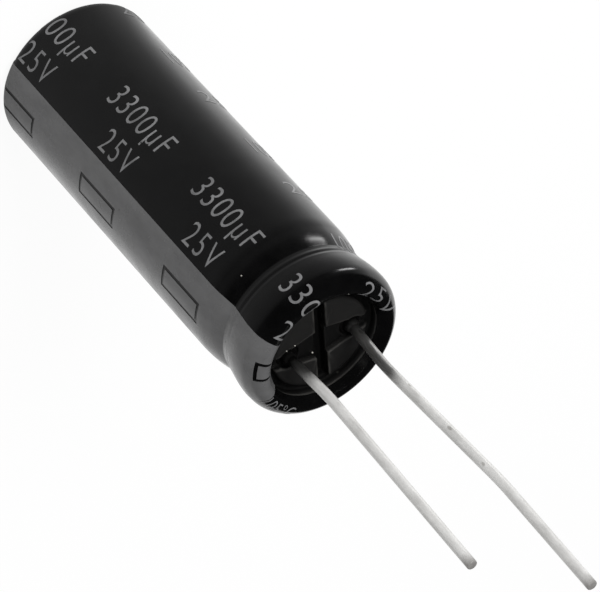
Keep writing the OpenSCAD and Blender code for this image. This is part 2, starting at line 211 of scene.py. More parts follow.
def neck_path(neck, d, steps):
    """The outline past the groove, round the shoulder and over the curl, a distance d inside the surface."""
    r, top, fillet, edge_r = neck["r"], neck["top"], neck["fillet"], neck["edge_r"]
    body, rim = neck["slope_body"], neck["slope_rim"]
    shoulder_r, tight_r = neck["shoulder_r"], neck["tight_r"]
    bottom_r = r - neck["depth"]
    rim_out = r - RIM_INSET
    z_body = BEAD_Z - groove_side(r, bottom_r, fillet, body, edge_r)
    z_rim = BEAD_Z + groove_side(rim_out, bottom_r, fillet, rim, edge_r)
    turn = radians(CREST_FROM)
    z_shoulder = top - tight_r - (shoulder_r - tight_r) * sin(turn)
    x_shoulder = rim_out - shoulder_r
    x_crest = x_shoulder + (shoulder_r - tight_r) * cos(turn)
    crest = arc(x_crest, top - tight_r, tight_r - d, CREST_FROM, CURL_ANGLE, steps)
    curl = radians(CURL_ANGLE)
    tail_end = (crest[-1][0] - neck["tail"] * sin(curl), crest[-1][1] + neck["tail"] * cos(curl))
    path = arc(r - edge_r, z_body, edge_r - d, 0, body, steps)
    path += arc(bottom_r + fillet, BEAD_Z, fillet + d, 180 + body, 180 - rim, steps)
    path += arc(rim_out - edge_r, z_rim, edge_r - d, -rim, 0, steps)
    path += arc(x_shoulder, z_shoulder, shoulder_r - d, 0, CREST_FROM, steps)[1:]
    path += crest[1:]
    path.append(tail_end)
    return path


def foot_path(d):
    """The sleeve's outline round its foot, a distance d inside the surface."""
    return arc(BODY_R - CORNER_R, CORNER_R, CORNER_R - d, -90, 0, FOOT_STEPS)


def link(name, bm, slot, *replaced, sharp=40):
    """Makes the mesh a piece of the part: closed, outward, and smooth but for its sharp edges."""
    bmesh.ops.remove_doubles(bm, verts=bm.verts, dist=MERGE)
    bmesh.ops.recalc_face_normals(bm, faces=bm.faces)
    mesh = bpy.data.meshes.new(name)
    bm.to_mesh(mesh)
    bm.free()
    mesh.shade_smooth()
    mesh.set_sharp_from_angle(angle=radians(sharp))
    piece = bpy.data.objects.new(name, mesh)
    scene.collection.objects.link(piece)
    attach(piece, "root")
    if replaced:
        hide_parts(*replaced)
    return piece


def revolve(outline, steps, closed=True):
    """Spins an outline of (radius, height) in millimetres about the part's axis."""
    bm = bmesh.new()
    verts = [bm.verts.new((r * MM, 0, z * MM)) for r, z in outline]
    edges = [bm.edges.new(pair) for pair in zip(verts, verts[1:])]
    if closed:
        edges.append(bm.edges.new((verts[-1], verts[0])))
    bmesh.ops.spin(bm, geom=verts + edges, cent=(0, 0, 0), axis=(0, 0, 1), angle=2 * pi,
                   steps=steps, use_merge=True)
    bmesh.ops.remove_doubles(bm, verts=bm.verts, dist=MERGE)
    return bm


class Skin:
    """The sleeve's outside as a length along its outline, equal to the height on the straight side.

    A row holds the length, radius and height at the end of a stretch, and the stretch's direction.
    """

    def __init__(self):
        points = [(BODY_R - SLEEVE_WRAP, 0)] + foot_path(0) + neck_path(SLEEVE_NECK, 0, NECK_STEPS)
        self.rows = [[0.0, *points[0], 0.0]]
        for (r0, z0), (r1, z1) in zip(points, points[1:]):
            step = hypot(r1 - r0, z1 - z0)
            if step < SAME_POINT:
                continue
            way = atan2(z1 - z0, r1 - r0)
            if way < self.rows[-1][3] - pi:
                way += 2 * pi
            self.rows.append([self.rows[-1][0] + step, r1, z1, way])
        side_foot = self.rows[1 + FOOT_STEPS]
        shift = side_foot[2] - side_foot[0]
        for row in self.rows:
            row[0] += shift
        self.knots = [row[0] for row in self.rows]
        self.foot = self.knots[INK_FOOT]
        self.end = self.knots[-1]

    def at(self, s):
        """(radius, height, outward normal's radius and height parts) at a length s."""
        rows = self.rows
        i = 1
        while i < len(rows) - 1 and rows[i][0] < s:
            i += 1
        (s0, r0, z0, _), (s1, r1, z1, here) = rows[i - 1], rows[i]
        k = min(max((s - s0) / (s1 - s0), 0), 1)
        near = here
        if k > 0.5 and i + 1 < len(rows):
            near = rows[i + 1][3]
        elif k < 0.5 and i > 1:
            near = rows[i - 1][3]
        way = here + (near - here) * abs(k - 0.5)
        return r0 + (r1 - r0) * k, z0 + (z1 - z0) * k, sin(way), -cos(way)

    def s_where(self, radius):
        """The length past the rim at which the outside has this radius."""
        for (s0, r0, z0, _), (s1, r1, z1, _) in zip(self.rows, self.rows[1:]):
            if z0 > RIM_FROM and r0 >= radius > r1:
                return s0 + (s1 - s0) * (r0 - radius) / (r0 - r1)
        return self.end


skin = Skin()


def everything(bm):
    """All of a mesh, for a cut."""
    return bm.verts[:] + bm.edges[:] + bm.faces[:]


def cut_at(bm, values, axis):
    """Cuts a flat sheet at each of these values of x (axis 0) or y (axis 1)."""
    normal = (1, 0, 0) if axis == 0 else (0, 1, 0)
    for value in values:
        point = (value, 0, 0) if axis == 0 else (0, value, 0)
        bmesh.ops.bisect_plane(bm, geom=everything(bm), dist=SHEET_TOUCH, plane_co=point, plane_no=normal)


def lay_on_sleeve(bm, s0, turn, low, high):
    """Bends a flat sheet onto the sleeve as a closed skin; x runs along the can and y against the turn."""
    bmesh.ops.remove_doubles(bm, verts=bm.verts, dist=SHEET_MERGE)
    raised = bmesh.ops.extrude_face_region(bm, geom=bm.faces[:])
    top = {v for v in raised["geom"] if isinstance(v, bmesh.types.BMVert)}
    for v in bm.verts:
        height = high if v in top else low
        r, z, nr, nz = skin.at(s0 + v.co.x)
        angle = radians(turn) - v.co.y / BODY_R
        out = r + nr * height
        v.co = Vector((out * cos(angle), out * sin(angle), z + nz * height)) * MM


def sheet(x0, x1, y0, y1):
    """A flat rectangle."""
    bm = bmesh.new()
    corners = [bm.verts.new((x, y, 0)) for x, y in ((x0, y0), (x1, y0), (x1, y1), (x0, y1))]
    bm.faces.new(corners)
    return bm


def build_sleeve():
    """Shrunk film from under the foot, over the bead and the curl, to its cut edge in the recess."""
    outline = [(BODY_R - SLEEVE_WRAP, 0)]
    outline += foot_path(0)
    outline += neck_path(SLEEVE_NECK, 0, NECK_STEPS)
    outline += neck_path(SLEEVE_NECK, SLEEVE_T, NECK_STEPS)[::-1]
    outline += foot_path(SLEEVE_T)[::-1]
    outline.append((BODY_R - SLEEVE_WRAP, SLEEVE_T))
    return link("sleeve_film", revolve(outline, SLEEVE_ROUND), "sleeve", "sleeve", sharp=50)


def build_stripe():
    """Printed stripe down the cathode side and over the lip, with the lines of its frames left open."""
    half = radians(STRIPE_ANGLE / 2) * BODY_R
    bm = sheet(skin.foot, skin.end, -half, half)
    frames = []
    top = FRAME_TOP
    while top > FRAME_LEN:
        frames.append((top - FRAME_LEN, top))
        top -= FRAME_PITCH
    frames.append((skin.s_where(LIP_FRAME_R), skin.end + CUT_PAST))
    outer = FRAME_W / 2
    inner = outer - FRAME_LINE
    along = [k for k in skin.knots if skin.foot < k < skin.end]
    for start, end in frames:
        along += [start, start + FRAME_LINE, end - FRAME_LINE, end]
    cut_at(bm, sorted(x for x in along if x < skin.end), 0)
    middle = radians(STRIPE_TURN - FRAME_TURN) * BODY_R
    across = [middle + y for y in (-outer, -inner, inner, outer)]
    cuts = int(STRIPE_ANGLE / 2 / STRIPE_CUT)
    across += [radians(STRIPE_CUT) * BODY_R * i for i in range(-cuts, cuts + 1)]
    cut_at(bm, sorted(across), 1)
    lines = []
    for face in bm.faces:
        x, y, _ = face.calc_center_median()
        y -= middle
        for start, end in frames:
            inside = start < x < end and abs(y) < outer
            hollow = start + FRAME_LINE < x < end - FRAME_LINE and abs(y) < inner
            if inside and not hollow:
                lines.append(face)
    bmesh.ops.delete(bm, geom=lines, context="FACES")
    lay_on_sleeve(bm, 0, STRIPE_TURN, SKIN_GAP, SKIN_GAP + INK_T)
    return link("stripe_ink", bm, "ink", "polarity_stripe")


def letters_of(name, words, spacing):
    """The words as a flat mesh in the built-in font."""
    curve = bpy.data.curves.new(name, "FONT")
    curve.body = words
    curve.offset = LETTER_WEIGHT
    curve.space_character = spacing
    letters = bpy.data.objects.new(name, curve)
    scene.collection.objects.link(letters)
    bpy.context.view_layer.update()
    flat = bpy.data.meshes.new_from_object(letters)
    bpy.data.objects.remove(letters)
    return flat


def build_print(name, words, turn, below_rim, length, cap, spacing, way):
    """Rating print, repeated along the can and cut off at the foot and at the sleeve's end."""
    flat = letters_of(name, words, spacing)
    xs = [v.co.x for v in flat.vertices]
    left, right = min(xs), max(xs)
    rim = skin.end - PRINT_SINK
    along = [PRINT_CUT_ALONG * i for i in range(-2, int(length / PRINT_CUT_ALONG) + 1)]
    rows = int(length / PRINT_CUT_ROUND)
    across = [PRINT_CUT_ROUND * i for i in range(-rows - 1, rows + 1)]
    whole = bmesh.new()
    s0 = RIM_PLANE - below_rim - PRINT_PITCH * 2
    while s0 < rim:
        bm = bmesh.new()
        bm.from_mesh(flat)
        for v in bm.verts:
            x = (v.co.x - left) * length / (right - left)
            y = v.co.y * cap / FONT_CAP
            v.co = Vector({0: (x, y, 0), 1: (cap - y, x, 0), -1: (y, -x, 0)}[way])
        bmesh.ops.remove_doubles(bm, verts=bm.verts, dist=SHEET_MERGE)
        for edge, outward in ((rim - s0, 1), (skin.foot - s0, -1)):
            bmesh.ops.bisect_plane(bm, geom=everything(bm), dist=SHEET_TOUCH, plane_co=(edge, 0, 0),
                                   plane_no=(outward, 0, 0), clear_outer=True)
        cut_at(bm, along, 0)
        cut_at(bm, across, 1)
        if bm.faces:
            lay_on_sleeve(bm, s0, turn, -PRINT_SINK, PRINT_RISE)
            part = bpy.data.meshes.new(name)
            bm.to_mesh(part)
            whole.from_mesh(part)
            bpy.data.meshes.remove(part)
        bm.free()
        s0 += PRINT_PITCH
    bpy.data.meshes.remove(flat)
    return link(name, whole, "ink")


def cutter(bm, name):
    """Makes the mesh a tool that carve() cuts with."""
    mesh = bpy.data.meshes.new(name)
    bmesh.ops.recalc_face_normals(bm, faces=bm.faces)
    bm.to_mesh(mesh)
    bm.free()
    tool = bpy.data.objects.new(name, mesh)
    scene.collection.objects.link(tool)
    return tool


def block(low, high):
    """A box from corner to corner, in millimetres."""
    bm = bmesh.new()
    size = [h - l for l, h in zip(low, high)]
    middle = [(h + l) / 2 for l, h in zip(low, high)]
    made = bmesh.ops.create_cube(bm, size=1)
    bmesh.ops.scale(bm, verts=made["verts"], vec=[s * MM for s in size])
    bmesh.ops.translate(bm, verts=made["verts"], vec=[m * MM for m in middle])
    return bm


def prism(points, low, high):
    """A straight-sided block over a flat outline, in millimetres."""
    bm = bmesh.new()
    base = bm.faces.new([bm.verts.new((x * MM, y * MM, low * MM)) for x, y in points])
    raised = bmesh.ops.extrude_face_region(bm, geom=[base])
    top = [v for v in raised["geom"] if isinstance(v, bmesh.types.BMVert)]
    bmesh.ops.translate(bm, verts=top, vec=(0, 0, (high - low) * MM))
    return bm


def rod(x, y, r, low, high, segments=48):
    """An upright rod, in millimetres."""
    bm = bmesh.new()
    made = bmesh.ops.create_cone(bm, cap_ends=True, segments=segments, radius1=r * MM, radius2=r * MM,
                                 depth=(high - low) * MM)
    bmesh.ops.translate(bm, verts=made["verts"], vec=(x * MM, y * MM, (low + high) / 2 * MM))
    return bm


def apply_modifiers(piece):
    """Makes the piece's mesh what its modifiers show, and takes them off."""
    bpy.context.view_layer.update()
    made = bpy.data.meshes.new_from_object(piece.evaluated_get(bpy.context.evaluated_depsgraph_get()))
    piece.modifiers.clear()
    old = piece.data
    piece.data = made
    bpy.data.meshes.remove(old)


def carve(piece, tools):
    """Cuts the tools out of the piece and removes them."""
    for tool in tools:
        cut = piece.modifiers.new("cut", "BOOLEAN")
        cut.operation = "DIFFERENCE"
        cut.solver = "EXACT"
        cut.object = tool
    apply_modifiers(piece)
    for tool in tools:
        bpy.data.objects.remove(tool)


def build_seal():
    """Seal with its recess, raised pads, channel, wells and notches, all edges softened."""
    wall = neck_path(CAN_NECK, CAN_T + SKIN_GAP, SEAL_STEPS)
    shoulder_z = neck_path(CAN_NECK, CAN_T, SEAL_STEPS)[-1][1] - SKIN_GAP
    side = [(r, z) for r, z in wall if SEAL_BOTTOM < z < shoulder_z and r > RECESS_R + RIM_LEAST]
    outline = [(0, SEAL_BOTTOM), (side[0][0], SEAL_BOTTOM)] + side
    outline += [(side[-1][0] - SHOULDER_INSET, shoulder_z), (RECESS_R, shoulder_z)]
    outline += [(RECESS_R, FACE_Z), (PAD_R, FACE_Z)]
    outline += arc(PAD_R - PAD_EDGE_R, PAD_TOP - PAD_EDGE_R, PAD_EDGE_R, 0, 90, SEAL_STEPS)
    outline.append((0, PAD_TOP))
    body = revolve(outline, SEAL_ROUND, closed=False)
    seal = link("seal_rubber", body, "seal", "rubber_seal", sharp=35)
    top = PAD_TOP + CUT_PAST
    channel = block((-CHANNEL_W / 2, -PAD_R, FACE_Z - CHANNEL_SINK), (CHANNEL_W / 2, PAD_R, top))
    tools = [cutter(channel, "channel")]
    for way in (-1, 1):
        x = way * LEAD_X
        near, far = sorted((x, way * (PAD_R + GAP_PAST)))
        gap = block((near, -WELL_GAP_W / 2, FACE_Z), (far, WELL_GAP_W / 2, top))
        notch = [(0, -NOTCH_W / 2), (x, -NOTCH_END_W / 2), (x, NOTCH_END_W / 2), (0, NOTCH_W / 2)]
        tools.append(cutter(rod(x, 0, WELL_R, FACE_Z, top), "well"))
        tools.append(cutter(gap, "gap"))
        tools.append(cutter(prism(notch, PAD_TOP - NOTCH_DEPTH, top), "notch"))
        tools.append(cutter(rod(x, 0, HOLE_R, SEAL_BOTTOM - CUT_PAST, FACE_Z + CUT_PAST / 2), "hole"))
    carve(seal, tools)
    soften = seal.modifiers.new("soften", "BEVEL")
    soften.width = SOFT_EDGE * MM
    soften.segments = 3
    soften.limit_method = "ANGLE"
    soften.angle_limit = radians(35)
    soften.use_clamp_overlap = True
    apply_modifiers(seal)
    seal.data.shade_smooth()
    seal.data.set_sharp_from_angle(angle=radians(60))
    return seal


def lead_stretches(legs):
    """A lead's centre line as (length, first lean, last lean), in radians, starting inside the weld bead."""
    weld = WELD_R + WELD_LIFT
    stretches = [(weld, 0.0, radians(legs[0][1]))]
    low, cut = STEM_TOP, weld
    for i, (end_h, lean) in enumerate(legs):
        lean = radians(lean)
        whole = (BODY_TOP + end_h - low) / cos(lean)
        low = BODY_TOP + end_h
        turn = radians(legs[i + 1][1]) - lean if i + 1 < len(legs) else 0.0
        tangent = BEND_R * tan(abs(turn) / 2)
        stretches.append((whole - cut - tangent, lean, lean))
        if turn:
            stretches.append((BEND_R * abs(turn), lean, lean + turn))
        cut = tangent
    return stretches


def lead_place(stretches, length):
    """Sideways place, height and lean of the centre line, a length up from the foot."""
    x, z, lean = 0.0, 0.0, 0.0
    for full, first, last in stretches:
        part = min(length, full)
        lean = first + (last - first) * part / full
        middle = (first + lean) / 2
        x += part * sin(middle)
        z += part * cos(middle)
        length -= part
        if length <= 0:
            break
    return x, z, lean


def build_lead(name, x, legs, node):
    """Tinned wire with its weld bead: spun straight, then bent along its centre line."""
    stretches = lead_stretches(legs)
    length = sum(s[0] for s in stretches)
    outline = [(0, 0)]
    weld_foot = degrees(asin(-WELD_LIFT / WELD_R))
    weld_top = degrees(acos(LEAD_R / WELD_R))
    outline += arc(0, WELD_LIFT, WELD_R, weld_foot, weld_top, WELD_STEPS)
    z = outline[-1][1]
    outline += [(LEAD_R, z + (length - TIP_R - z) * i / WIRE_RINGS) for i in range(1, WIRE_RINGS + 1)]
    outline += arc(LEAD_R - TIP_R, length - TIP_R, TIP_R, 0, 90, 4)[1:]
    outline.append((0, length))
    bm = revolve(outline, WIRE_ROUND, closed=False)
    out = Vector((cos(radians(LEAN_TURN)), sin(radians(LEAN_TURN)), 0))
    foot = Vector((x, 0, STEM_TOP))
    for v in bm.verts:
        p = v.co / MM
        flat = Vector((p.x, p.y, 0))
        at, up, lean = lead_place(stretches, p.z)
        reach = flat.dot(out)
        side = out * cos(lean) - Vector((0, 0, sin(lean)))
        v.co = (foot + out * at + Vector((0, 0, up)) + side * reach + (flat - out * reach)) * MM
    return link(name, bm, "lead", node, sharp=35)


def build_dust_and_glint_grains():
    """Grains of dust caught in the seal and on the sleeve, pale where small glints show: dust and a painted
    glint.
    """
    bm = bmesh.new()
    for x, y, z, r in DUST_AND_GLINT_GRAINS:
        made = bmesh.ops.create_icosphere(bm, subdivisions=2, radius=r * MM)
        for i, v in enumerate(made["verts"]):
            v.co *= 1 + GRAIN_ROUGH * sin(7 * i)
        bmesh.ops.translate(bm, verts=made["verts"], vec=(x * MM, y * MM, z * MM))
    return link("dust_and_glint_grains", bm, "ink")


def feed(tree, socket, value):
    """Links a socket, or sets it to a plain value."""
    if isinstance(value, bpy.types.NodeSocket):
        tree.links.new(value, socket)
    else:
        socket.default_value = value


def sums(tree, operation, a, b=0.0):
    """A Math node."""
    node = tree.nodes.new("ShaderNodeMath")
    node.operation = operation
    feed(tree, node.inputs[0], a)
    feed(tree, node.inputs[1], b)
    return node.outputs[0]


def times(tree, a, b):
    """The product of two values."""
    return sums(tree, "MULTIPLY", a, b)


def parts_of(tree, vector):
    """The x, y and z of a vector."""
    node = tree.nodes.new("ShaderNodeSeparateXYZ")
    tree.links.new(vector, node.inputs[0])
    return node.outputs


def scaled(tree, vector, by):
    """The coordinates stretched, so that a pattern is drawn out where the factor is small."""
    node = tree.nodes.new("ShaderNodeMapping")
    feed(tree, node.inputs["Vector"], vector)
    node.inputs["Scale"].default_value = by
    return node.outputs[0]


def cloud(tree, vector, scale, detail=2.0, roughness=0.5):
    """Soft noise."""
    node = tree.nodes.new("ShaderNodeTexNoise")
    feed(tree, node.inputs["Vector"], vector)
    feed(tree, node.inputs["Scale"], scale)
    node.inputs["Detail"].default_value = detail
    node.inputs["Roughness"].default_value = roughness
    return node.outputs[0]


def span(tree, value, low, high, to_low=0.0, to_high=1.0, kind="LINEAR"):
    """The value's place between low and high, as a value between to_low and to_high."""
    node = tree.nodes.new("ShaderNodeMapRange")
    node.interpolation_type = kind
    feed(tree, node.inputs["Value"], value)
    for name, given in (("From Min", low), ("From Max", high), ("To Min", to_low), ("To Max", to_high)):
        feed(tree, node.inputs[name], given)
    return node.outputs[0]


def between(tree, share, low, high):
    """A value that runs from low to high as the share runs from 0 to 1."""
    return span(tree, share, 0.0, 1.0, low, high)


def tint(tree, mask, a, b, share=1.0):
    """Colour a, with colour b over it where the mask says, up to a share."""
    node = tree.nodes.new("ShaderNodeMix")
    node.data_type = "RGBA"
    feed(tree, node.inputs[0], mask if share == 1.0 else times(tree, mask, share))
    feed(tree, node.inputs[6], a if isinstance(a, bpy.types.NodeSocket) else (*a, 1))
    feed(tree, node.inputs[7], b if isinstance(b, bpy.types.NodeSocket) else (*b, 1))
    return node.outputs[2]


def new_group(name, inputs, outputs):
    """An empty node group: its tree, what comes in and what goes out, by name."""
    tree = bpy.data.node_groups.new(name, "ShaderNodeTree")
    tree.interface.new_socket(name="Vector", in_out="INPUT", socket_type="NodeSocketVector")
    for label, value in inputs.items():
        made = tree.interface.new_socket(name=label, in_out="INPUT", socket_type="NodeSocketFloat")
        made.default_value = value
    for label in outputs:
        tree.interface.new_socket(name=label, in_out="OUTPUT", socket_type="NodeSocketFloat")
    return tree, tree.nodes.new("NodeGroupInput").outputs, tree.nodes.new("NodeGroupOutput").inputs


def place_group(tree, group, **given):
    """Places a group in a tree with its own values, and gives its outputs."""
    node = tree.nodes.new("ShaderNodeGroup")
    node.node_tree = group
    for name, value in given.items():
        feed(tree, node.inputs[name], value)
    return node.outputs


def make_unevenness():
    """Soft waves of a film or a cast surface, with finer ripples drawn out along the can."""
    tree, given, out = new_group("unevenness", {"Scale": 250.0, "Ripple": 0.3}, ["Height", "Patches"])
    place = given["Vector"]
    waves = cloud(tree, place, given["Scale"], 2)
    drawn = cloud(tree, scaled(tree, place, (1, 1, 0.18)), times(tree, given["Scale"], 7), 3)
    mixed = sums(tree, "ADD", waves, times(tree, drawn, given["Ripple"]))
    patches = cloud(tree, place, times(tree, given["Scale"], 2.3), 4, 0.6)
    tree.links.new(mixed, out["Height"])
    tree.links.new(span(tree, patches, 0.35, 0.65), out["Patches"])
    return tree


def make_specks():
    """Sparse small dots: dust on a surface, or pinholes in an ink."""
    tree, given, out = new_group("specks", {"Scale": 900.0, "Size": 0.12, "Share": 0.1}, ["Mask"])
    cells = tree.nodes.new("ShaderNodeTexVoronoi")
    tree.links.new(given["Vector"], cells.inputs["Vector"])
    tree.links.new(given["Scale"], cells.inputs["Scale"])
    pick = tree.nodes.new("ShaderNodeSeparateColor")
    tree.links.new(cells.outputs["Color"], pick.inputs[0])
    chosen = sums(tree, "LESS_THAN", pick.outputs[0], given["Share"])
    core = times(tree, given["Size"], 0.6)
    near = span(tree, cells.outputs["Distance"], core, given["Size"], 1.0, 0.0)
    tree.links.new(times(tree, chosen, near), out["Mask"])
    return tree


def make_crease():
    """A fine crease in the shrunk film, round the can at one height and wandering a little."""
    tree, given, out = new_group("crease", {"Level": 0.03, "Width": 0.0002, "Wander": 0.0006}, ["Height"])
    place = given["Vector"]
    drift = sums(tree, "SUBTRACT", cloud(tree, scaled(tree, place, (1, 1, 0.2)), 170, 1), 0.5)
    level = sums(tree, "ADD", given["Level"], times(tree, drift, given["Wander"]))
    away = sums(tree, "ABSOLUTE", sums(tree, "SUBTRACT", parts_of(tree, place)[2], level))
    ridge = span(tree, away, 0.0, given["Width"], 1.0, 0.0)
    fade = span(tree, cloud(tree, scaled(tree, place, (1, 1, 0.1)), 230, 1), 0.35, 0.55)
    tree.links.new(times(tree, ridge, fade), out["Height"])
    return tree


def make_streaks():
    """Fine lines and blotches, as drawing, printing and handling leave them."""
    tree, given, out = new_group("streaks", {"Scale": 1500.0, "Low": 0.3, "High": 0.7}, ["Lines", "Blotches"])
    lines = cloud(tree, given["Vector"], given["Scale"], 3, 0.6)
    blotches = cloud(tree, given["Vector"], times(tree, given["Scale"], 0.35), 4, 0.65)
    tree.links.new(span(tree, lines, given["Low"], given["High"]), out["Lines"])
    tree.links.new(span(tree, blotches, given["Low"], given["High"]), out["Blotches"])
    return tree


def make_film_relief():
    """Relief of the shrunk film, the same under the ink as beside it: waves, creases and a swell."""
    tree, given, out = new_group("film_relief", {"Scale": 210.0, "Ripple": 0.12}, ["Height", "Patches"])
    place = given["Vector"]
    uneven = place_group(tree, UNEVENNESS, Vector=place, Scale=given["Scale"], Ripple=given["Ripple"])
    height = times(tree, uneven["Height"], 0.5)
    for level, width, wander, strength in CREASES:
        crease = place_group(tree, CREASE, Vector=place, Level=level * MM, Width=width * MM,
                             Wander=wander * MM)
        height = sums(tree, "ADD", height, times(tree, crease["Height"], strength))
    level, half_width, strength = SWELL
    away = sums(tree, "ABSOLUTE", sums(tree, "SUBTRACT", parts_of(tree, place)[2], level * MM))
    swell = span(tree, away, 0.0, half_width * MM, strength, 0.0, "SMOOTHSTEP")
    tree.links.new(sums(tree, "ADD", height, swell), out["Height"])
    tree.links.new(uneven["Patches"], out["Patches"])
    return tree


UNEVENNESS = make_unevenness()
SPECKS = make_specks()
CREASE = make_crease()
STREAKS = make_streaks()
RELIEF = make_film_relief()


def finish(name):
    """A material with its Principled shader and the object's own coordinates."""
    material = bpy.data.materials.new(name)
    material.use_nodes = True
    tree = material.node_tree
    tree.nodes.clear()
    out = tree.nodes.new("ShaderNodeOutputMaterial")
    principled = tree.nodes.new("ShaderNodeBsdfPrincipled")
    tree.links.new(principled.outputs[0], out.inputs[0])
    place = tree.nodes.new("ShaderNodeTexCoord").outputs["Object"]
    return material, tree, principled.inputs, place


def raise_by(tree, shader, height, distance, normal=None):
    """Bump from a height, a distance in millimetres, over another normal where one is given."""
    bump = tree.nodes.new("ShaderNodeBump")
    bump.inputs["Distance"].default_value = distance * MM
    tree.links.new(height, bump.inputs["Height"])
    if normal:
        tree.links.new(normal, bump.inputs["Normal"])
    tree.links.new(bump.outputs[0], shader["Normal"])


def make_film():
    """Black film, semi-gloss, in slightly lighter and darker patches, with a little dust."""
    material, tree, shader, place = finish("black_film")
    relief = place_group(tree, RELIEF, Vector=place)
    dust = place_group(tree, SPECKS, Vector=place, Scale=750.0, Size=0.1, Share=0.035)
    black = tint(tree, relief["Patches"], (0.0007, 0.0007, 0.0008), (0.0019, 0.0019, 0.002))
    black = tint(tree, dust["Mask"], black, (0.06, 0.06, 0.058), 0.5)
    feed(tree, shader["Base Color"], black)
    feed(tree, shader["Roughness"], between(tree, relief["Patches"], 0.16, 0.24))
    raise_by(tree, shader, relief["Height"], FILM_RELIEF)
    return material


def make_ink(name, thin, full, worn):
    """Printed ink: a little mottled, with pinholes down to the film."""
    material, tree, shader, place = finish(name)
    relief = place_group(tree, RELIEF, Vector=place)
    grain = place_group(tree, STREAKS, Vector=scaled(tree, place, (1, 1, 0.5)), Scale=2600.0)
    holes = place_group(tree, SPECKS, Vector=place, Scale=1500.0, Size=0.16, Share=worn)
    ink = tint(tree, grain["Blotches"], thin, full)
    ink = tint(tree, holes["Mask"], ink, (0.02, 0.02, 0.02), 0.8)
    feed(tree, shader["Base Color"], ink)
    feed(tree, shader["Roughness"], between(tree, relief["Patches"], 0.2, 0.3))
    raise_by(tree, shader, relief["Height"], FILM_RELIEF)
    return material


def make_rubber():
    """Black moulded rubber, dull, with a fine grain, painted light on what stands up, painted shade lower
    down and painted highlights on the rounded edges.
    """
    material, tree, shader, place = finish("black_rubber")
    grain = place_group(tree, UNEVENNESS, Vector=place, Scale=1500.0, Ripple=0.6)
    rubber_mottle = place_group(tree, STREAKS, Vector=place, Scale=900.0)
    specks = place_group(tree, SPECKS, Vector=place, Scale=2200.0, Size=0.2, Share=0.05)
    top = span(tree, parts_of(tree, place)[2], (PAD_TOP - 0.3) * MM, (PAD_TOP - 0.02) * MM)
    # Painted light: the raised tops are patchily lighter than what lies lower in the recess
    lit_pad_tops = times(tree, top, between(tree, rubber_mottle["Blotches"], 0.55, 1))
    rounded = tree.nodes.new("ShaderNodeBevel")
    rounded.samples = 6
    rounded.inputs["Radius"].default_value = 0.32 * MM
    facing = tree.nodes.new("ShaderNodeVectorMath")
    facing.operation = "DOT_PRODUCT"
    tree.links.new(rounded.outputs[0], facing.inputs[0])
    tree.links.new(tree.nodes.new("ShaderNodeNewGeometry").outputs["Normal"], facing.inputs[1])
    # Painted highlight along the rounded edges of the raised pads
    edge = span(tree, facing.outputs["Value"], 0.995, 0.9)
    edge_highlight = times(tree, edge, between(tree, rubber_mottle["Lines"], 0.35, 1))
    edge_highlight = times(tree, edge_highlight, between(tree, top, 0.1, 1))
    # Painted shade lower down, painted light on the tops, then the painted edge highlight and dust specks
    rubber = tint(tree, lit_pad_tops, (0.004, 0.004, 0.004), (0.0125, 0.0122, 0.0118))
    rubber = tint(tree, edge_highlight, rubber, (0.06, 0.058, 0.054))
    rubber = tint(tree, specks["Mask"], rubber, (0.08, 0.078, 0.07), 0.5)
    feed(tree, shader["Base Color"], rubber)
    feed(tree, shader["Roughness"], between(tree, rubber_mottle["Lines"], 0.42, 0.6))
    raise_by(tree, shader, grain["Height"], 0.012, rounded.outputs[0])
    return material


def make_tinned(name, tip_h, foot_h, shine_h):
    """Tinned wire: mottled grey with drawn streaks, dark at its cut tip, with painted shade at its foot by
    the weld, brighter low down.
    """
    material, tree, shader, place = finish(name)
    streaks = place_group(tree, STREAKS, Vector=scaled(tree, place, (1, 1, 0.12)), Scale=2400.0,
                          Low=0.34, High=0.66)
    mottle = place_group(tree, STREAKS, Vector=scaled(tree, place, (1, 1, 0.45)), Scale=2600.0)
    specks = place_group(tree, SPECKS, Vector=scaled(tree, place, (1, 1, 0.5)), Scale=1900.0,
                         Size=0.28, Share=0.12)
    tip = BODY_TOP + tip_h
    frayed = sums(tree, "ADD", parts_of(tree, place)[2], times(tree, mottle["Lines"], 0.4 * MM))
    near_tip = span(tree, frayed, (tip - 0.9) * MM, (tip + 0.2) * MM)
    # Painted shade on the wire's foot, low in the seal's recess
    foot_shade_mask = span(tree, frayed, foot_h * MM, (foot_h + 2) * MM, 1.0, 0.0)
    polished = span(tree, frayed, (shine_h - 0.8) * MM, (shine_h + 0.8) * MM, 1.0, 0.0)
    tin = tint(tree, mottle["Blotches"], (0.52, 0.515, 0.5), (0.74, 0.735, 0.72))
    tin = tint(tree, streaks["Lines"], tin, (0.82, 0.815, 0.8), 0.4)
    tin = tint(tree, specks["Mask"], tin, (0.2, 0.19, 0.17), 0.55)
    # Painted shade over the foot of the wire
    tin = tint(tree, foot_shade_mask, tin, FOOT_SHADE, 0.94)
    tin = tint(tree, near_tip, tin, (0.16, 0.15, 0.14), 0.7)
    feed(tree, shader["Base Color"], tin)
    feed(tree, shader["Metallic"], between(tree, polished, 0.38, 0.95))
    feed(tree, shader["Roughness"], between(tree, mottle["Blotches"], 0.34, 0.52))
    raise_by(tree, shader, sums(tree, "ADD", streaks["Lines"], mottle["Blotches"]), 0.012)
    return material


